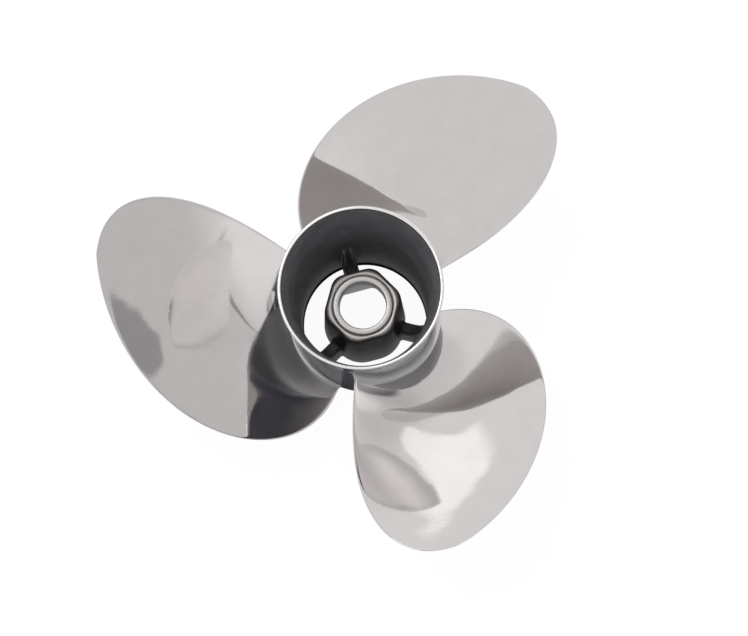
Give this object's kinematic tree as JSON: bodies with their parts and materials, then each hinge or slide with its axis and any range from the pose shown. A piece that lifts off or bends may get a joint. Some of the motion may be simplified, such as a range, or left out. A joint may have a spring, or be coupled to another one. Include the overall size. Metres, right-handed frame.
{
  "type": "ship propeller",
  "caption": "Three-blade boat propeller in polished stainless steel with a hollow exhaust hub, a hexagonal inner hub on ribs and a flared rear rim.",
  "frame": {"origin": "on the shaft axis at the front face of the hub barrel, which rests on the floor", "axes": "+Z along the propeller shaft towards the rear, flared end of the hub; +X and +Y across the shaft, with the first blade's tip about 50 degrees from +X towards +Y"},
  "size_m": [0.3024, 0.3195, 0.159],
  "materials": {
    "barrel_polished_steel": "polished stainless steel",
    "flare_polished_steel": "polished stainless steel",
    "hub_dark_paint": "dark paint on cast steel",
    "seat_turned_steel": "turned steel face",
    "rib_1_dark_paint": "dark paint on cast steel",
    "blade_1_polished_steel": "polished stainless steel",
    "rib_2_dark_paint": "dark paint on cast steel",
    "blade_2_polished_steel": "polished stainless steel",
    "rib_3_dark_paint": "dark paint on cast steel",
    "blade_3_polished_steel": "polished stainless steel"
  },
  "bodies": {
    "root": {"outer_barrel": "barrel_polished_steel", "exhaust_flare": "flare_polished_steel", "inner_hub": "hub_dark_paint", "hub_seat_ring": "seat_turned_steel", "rib_1": "rib_1_dark_paint", "rib_2": "rib_2_dark_paint", "rib_3": "rib_3_dark_paint", "blade_1": "blade_1_polished_steel", "blade_2": "blade_2_polished_steel", "blade_3": "blade_3_polished_steel"}
  },
  "joints": []
}
